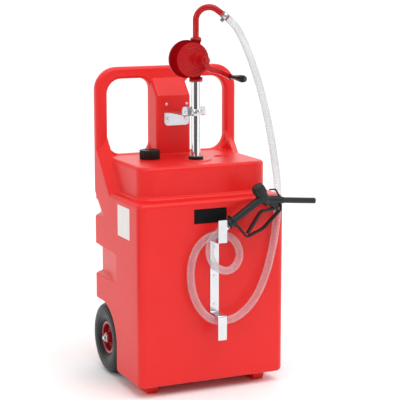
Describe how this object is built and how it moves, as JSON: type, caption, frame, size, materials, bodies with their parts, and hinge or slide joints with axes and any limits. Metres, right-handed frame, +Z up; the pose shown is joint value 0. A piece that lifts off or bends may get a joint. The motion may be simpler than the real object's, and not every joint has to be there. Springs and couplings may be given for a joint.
{
  "type": "fuel caddy",
  "caption": "Wheeled upright fuel tank with a tall handle, a crank-operated rotary pump on a suction tube, a clear hose wound on a cleat, and a lever nozzle.",
  "frame": {"origin": "on the ground under the middle of the caddy, without its hose and nozzle", "axes": "+Z up, front of the tank towards -Y, +X to the right as the front is seen"},
  "size_m": [0.6383, 0.56, 1.3248],
  "materials": {
    "tank": "rotomoulded red polyethylene, soft sheen",
    "cap": "black moulded plastic",
    "seal": "black nitrile rubber",
    "bung": "black moulded rubber",
    "chrome": "bright chromed steel tube",
    "zinc": "bright zinc-plated steel",
    "pump_red": "red gloss paint on cast iron",
    "steel": "plain machined steel",
    "brass": "machined brass",
    "vane": "carbon-filled plastic",
    "hose": "clear vinyl with a spiral inlay",
    "nozzle": "black powder-coated casting",
    "grip": "black moulded handle",
    "strainer": "white moulded plastic",
    "tyre": "dark grey rubber",
    "rim": "red gloss paint on pressed steel"
  },
  "bodies": {
    "root": {"tank_shell": "tank", "bung_gasket": "seal", "bung_screw": "zinc", "pump_bung": "bung", "suction_tube_upper": "chrome", "suction_tube_lower": "chrome", "suction_strainer": "strainer", "tube_bracket": "zinc", "bracket_screws": "zinc", "tube_strap": "zinc", "strap_bolts": "zinc", "strap_nuts": "zinc", "tube_flange": "pump_red", "tube_flange_gasket": "seal", "tube_flange_bolts": "zinc", "pump_casing": "pump_red", "cover_gasket": "seal", "pump_cover": "pump_red", "cover_bolts": "zinc", "shaft_bush": "brass", "gland_packing": "seal", "gland_nut": "pump_red", "outlet_spout": "pump_red", "spout_gasket": "seal", "spout_bolts": "zinc", "hose": "hose", "spout_hose_clamp": "zinc", "nozzle_hose_clamp": "zinc", "hose_cleat": "zinc", "cleat_screws": "zinc", "nozzle_tail": "nozzle", "nozzle_guard": "nozzle", "nozzle_hook": "zinc", "nozzle_spout": "nozzle", "lever_pin": "steel", "nozzle_body": "nozzle", "nozzle_valve_cap": "nozzle", "nozzle_spring": "steel", "axle": "zinc", "axle_washers": "zinc", "axle_pins": "zinc"},
    "wheel_left": {"tyre_left": "tyre", "rim_left": "rim", "rim_bolts_left": "zinc", "bearings_left": "zinc"},
    "wheel_right": {"tyre_right": "tyre", "rim_right": "rim", "rim_bolts_right": "zinc", "bearings_right": "zinc"},
    "crank": {"pump_shaft": "steel", "pump_rotor": "steel", "rotor_vanes": "vane", "crank_arm": "pump_red", "crank_nut": "pump_red", "crank_pin": "steel"},
    "grip": {"crank_grip": "grip"},
    "cap_slide": {"cap_gasket": "seal"},
    "cap": {"filler_cap": "cap"},
    "lever": {"nozzle_lever": "nozzle"},
    "valve": {"nozzle_valve": "brass"}
  },
  "joints": [
    {"name": "wheel_left_spin", "type": "hinge", "parent": "root", "child": "wheel_left", "pos_m": [-0.226, 0.15, 0.13], "axis": [1, 0, 0], "continuous": true},
    {"name": "wheel_right_spin", "type": "hinge", "parent": "root", "child": "wheel_right", "pos_m": [0.226, 0.15, 0.13], "axis": [1, 0, 0], "continuous": true},
    {"name": "crank_spin", "type": "hinge", "parent": "root", "child": "crank", "pos_m": [0.014, -0.106, 1.136], "axis": [0, 1, 0], "continuous": true},
    {"name": "grip_spin", "type": "hinge", "parent": "crank", "child": "grip", "pos_m": [0.111, -0.164, 1.078], "axis": [0, 1, 0], "continuous": true},
    {"name": "cap_lift", "type": "slide", "parent": "root", "child": "cap_slide", "axis": [0, 0, 1], "range_m": [0, 0.0101]},
    {"name": "cap_turn", "type": "hinge", "parent": "cap_slide", "child": "cap", "pos_m": [-0.122, 0.058, 0.8], "axis": [0, 0, 1], "range_deg": [0, 720]},
    {"name": "lever_squeeze", "type": "hinge", "parent": "root", "child": "lever", "pos_m": [0.21827, -0.256, 0.63646], "axis": [0, 1, 0], "range_deg": [0, 12], "stiffness_Nm_per_rad": 2, "springref_deg": -5.73},
    {"name": "valve_lift", "type": "slide", "parent": "root", "child": "valve", "axis": [-0.5446, 0, 0.8387], "range_m": [0, 0.0085]}
  ],
  "couplings": [
    {"joint": "cap_lift", "follows": "cap_turn", "m_per_rad": 0.000796},
    {"joint": "valve_lift", "follows": "lever_squeeze", "m_per_rad": 0.039}
  ]
}
